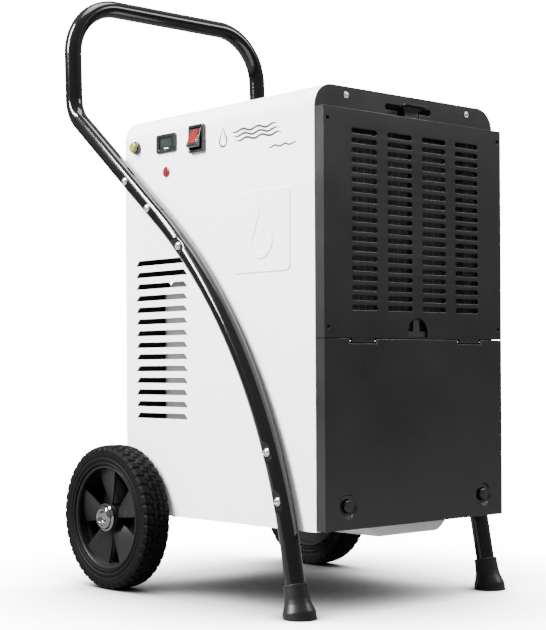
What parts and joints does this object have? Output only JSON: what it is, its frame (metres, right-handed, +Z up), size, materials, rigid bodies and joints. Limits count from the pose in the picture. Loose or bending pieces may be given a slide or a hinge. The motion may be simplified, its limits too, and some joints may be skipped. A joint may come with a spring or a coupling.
{
  "type": "commercial dehumidifier",
  "caption": "Upright sheet-metal dehumidifier on two wheels and two feet, with a bent tube handle, slotted intake grille, lower tank flap and side controls.",
  "frame": {"origin": "on the floor, under the centre of the bounding box", "axes": "+Z up, -Y towards the intake grille (front), +X to the right of somebody who faces the front"},
  "size_m": [0.442, 0.5497, 0.88],
  "materials": {
    "cabinet_white": "satin",
    "front_black": "satin",
    "tube_black": "gloss",
    "galvanised": "satin",
    "zinc_fastener": "bright",
    "black_fastener": "satin",
    "foot_rubber": "matte",
    "tyre_rubber": "matte",
    "rim_plastic": "satin",
    "cap_chrome": "polished",
    "tank_plastic": "translucent satin",
    "float_plastic": "satin",
    "switch_plastic": "satin",
    "rocker_red": "translucent gloss",
    "lamp_red": "gloss",
    "button_yellow": "gloss",
    "window_clear": "clear",
    "filter_black": "matte",
    "coil_fins": "satin",
    "copper_line": "satin",
    "compressor_grey": "satin",
    "fan_plastic": "satin",
    "motor_metal": "satin",
    "hose_clear": "satin"
  },
  "bodies": {
    "cabinet": {"outer_shell": "cabinet_white", "base_pan": "cabinet_white", "rear_panel": "cabinet_white", "outlet_guard": "black_fastener", "fascia_plate": "front_black", "intake_grille": "front_black", "mid_shelf": "galvanised", "bay_bulkhead": "galvanised", "fan_panel": "galvanised", "handle_tube": "tube_black", "frame_tube_left": "tube_black", "frame_tube_right": "tube_black", "foot_left": "foot_rubber", "foot_right": "foot_rubber", "hub_cap_left": "cap_chrome", "hub_cap_right": "cap_chrome", "axle": "zinc_fastener", "axle_brackets": "galvanised", "level_switch": "switch_plastic", "control_box": "galvanised", "capacitor": "motor_metal", "hour_meter": "switch_plastic", "hour_meter_window": "window_clear", "switch_bezel": "switch_plastic", "pilot_lamp": "lamp_red", "button_collar": "switch_plastic", "evaporator": "coil_fins", "condenser": "coil_fins", "coil_bends": "copper_line", "drip_tray": "galvanised", "drain_hose": "hose_clear", "compressor": "compressor_grey", "compressor_mounts": "foot_rubber", "accumulator": "compressor_grey", "suction_line": "copper_line", "discharge_line": "copper_line", "fan_motor": "motor_metal", "motor_bracket": "galvanised", "frame_bolts": "zinc_fastener", "frame_nuts": "zinc_fastener", "fascia_screws": "zinc_fastener", "grille_screws": "black_fastener", "rear_screws": "zinc_fastener", "cable_gland": "switch_plastic", "cord_hooks": "front_black"},
    "wheel_left": {"tyre_left": "tyre_rubber", "rim_left": "rim_plastic"},
    "wheel_right": {"tyre_right": "tyre_rubber", "rim_right": "rim_plastic"},
    "flap": {"tank_flap": "front_black", "flap_hinge_pins": "zinc_fastener", "flap_catches": "switch_plastic"},
    "tank": {"tank": "tank_plastic"},
    "float": {"tank_float": "float_plastic"},
    "filter": {"filter_frame": "filter_black", "filter_mesh": "filter_black"},
    "rocker": {"switch_rocker": "rocker_red"},
    "button": {"button_cap": "button_yellow"},
    "fan": {"fan_rotor": "fan_plastic", "fan_shaft": "zinc_fastener"}
  },
  "joints": [
    {"name": "wheel_left_spin", "type": "hinge", "parent": "cabinet", "child": "wheel_left", "pos_m": [-0.196, 0.137, 0.103], "axis": [1, 0, 0], "continuous": true},
    {"name": "wheel_right_spin", "type": "hinge", "parent": "cabinet", "child": "wheel_right", "pos_m": [0.196, 0.137, 0.103], "axis": [1, 0, 0], "continuous": true},
    {"name": "flap_hinge", "type": "hinge", "parent": "cabinet", "child": "flap", "pos_m": [0, -0.2698, 0.3486], "axis": [-1, 0, 0], "range_deg": [0, 100]},
    {"name": "tank_slide", "type": "slide", "parent": "cabinet", "child": "tank", "axis": [0, -1, 0], "range_m": [0, 0.191]},
    {"name": "float_rise", "type": "slide", "parent": "tank", "child": "float", "axis": [0, 0, 1], "range_m": [0, 0.1]},
    {"name": "filter_slide", "type": "slide", "parent": "cabinet", "child": "filter", "axis": [0, 0, 1], "range_m": [0, 0.285]},
    {"name": "rocker_tilt", "type": "hinge", "parent": "cabinet", "child": "rocker", "pos_m": [-0.172, -0.0232, 0.6288], "axis": [0, -1, 0], "range_deg": [0, 22]},
    {"name": "button_press", "type": "slide", "parent": "cabinet", "child": "button", "axis": [1, 0, 0], "range_m": [0, 0.003], "stiffness_N_per_m": 400},
    {"name": "fan_spin", "type": "hinge", "parent": "cabinet", "child": "fan", "pos_m": [0, -0.105, 0.49], "axis": [0, 1, 0], "continuous": true}
  ],
  "couplings": [
    {"joint": "tank_slide", "follows": "flap_hinge", "m_per_rad": 0.109}
  ]
}
